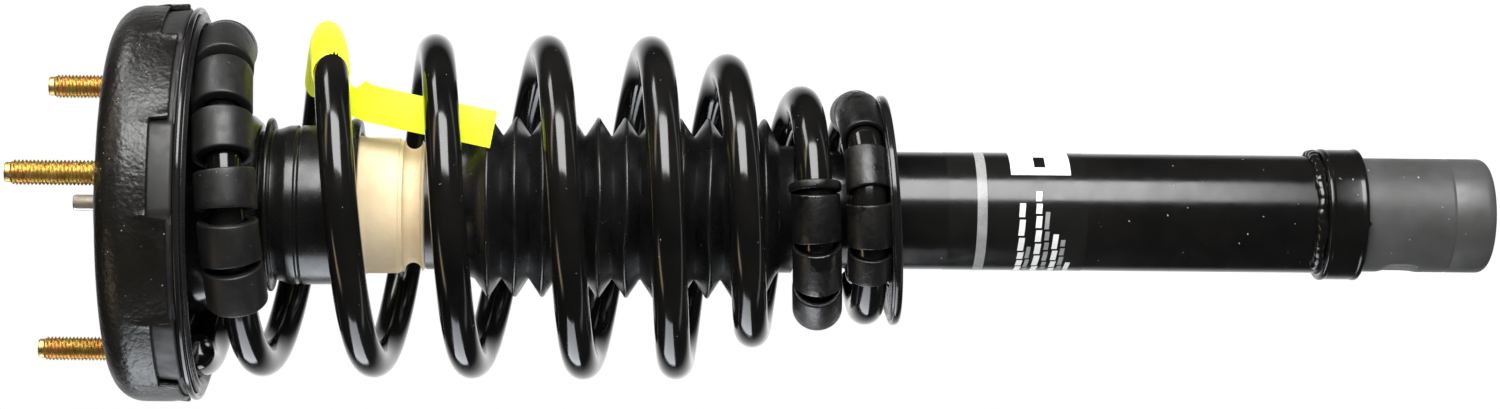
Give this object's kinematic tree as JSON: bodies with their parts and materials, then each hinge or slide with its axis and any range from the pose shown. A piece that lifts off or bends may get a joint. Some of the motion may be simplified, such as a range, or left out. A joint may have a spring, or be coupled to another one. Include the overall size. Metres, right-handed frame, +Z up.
{
  "type": "strut assembly",
  "caption": "Coil-over suspension strut with a three-stud rubber upper mount, a tapered coil spring, bump stop, dust boot and a plain-ended damper body.",
  "frame": {"origin": "centre of the damper's lower end face, on the strut's axis", "axes": "+Z up the strut's axis from the damper's lower end to the mounting studs; +X towards the higher side of the lower spring seat"},
  "size_m": [0.162, 0.1612, 0.5953],
  "materials": {
    "mount_shell": "satin",
    "studs": "yellow zinc",
    "mount_rubber": "matte",
    "plated_steel": "plated",
    "rod": "ground",
    "seat_paint": "gloss",
    "spring_paint": "gloss",
    "sleeve": "matte",
    "insulator": "satin",
    "cup": "satin",
    "foam": "foamed polyurethane",
    "boot": "satin",
    "tag": "fluorescent",
    "polymer": "plain",
    "sintered": "sintered",
    "tube_paint": "gloss",
    "bare_steel": "unpainted",
    "collar_paint": "gloss"
  },
  "bodies": {
    "upper_assembly": {"mount_cap": "mount_shell", "mount_stud_1": "studs", "mount_stud_2": "studs", "mount_stud_3": "studs", "mount_rubber": "mount_rubber", "mount_core": "plated_steel", "rod_washer": "plated_steel", "rod_nut": "plated_steel", "piston_rod": "rod", "upper_spring_seat": "seat_paint", "upper_spring_insulator": "insulator", "upper_spring_sleeve": "sleeve", "coil_spring": "spring_paint", "id_tag": "tag", "bump_stop_cup": "cup", "cup_washer": "plated_steel", "bump_stop": "foam", "dust_boot": "boot", "rebound_stop": "polymer", "piston": "sintered", "piston_ring": "polymer", "piston_nut": "plated_steel"},
    "damper_body": {"reserve_tube": "tube_paint", "tube_cap": "plated_steel", "oil_seal": "mount_rubber", "rod_guide": "sintered", "pressure_tube": "bare_steel", "base_valve": "sintered", "end_cap": "bare_steel", "stop_collar": "collar_paint", "lower_spring_seat": "seat_paint", "lower_spring_pad": "insulator", "lower_sleeve_1": "sleeve", "lower_sleeve_2": "sleeve"}
  },
  "joints": [
    {"name": "strut_travel", "type": "slide", "parent": "upper_assembly", "child": "damper_body", "axis": [0, 0, 1], "range_m": [0, 0.095], "stiffness_N_per_m": 28000, "springref_m": -0.03, "deforming": ["coil_spring", "id_tag", "dust_boot", "bump_stop"]}
  ]
}
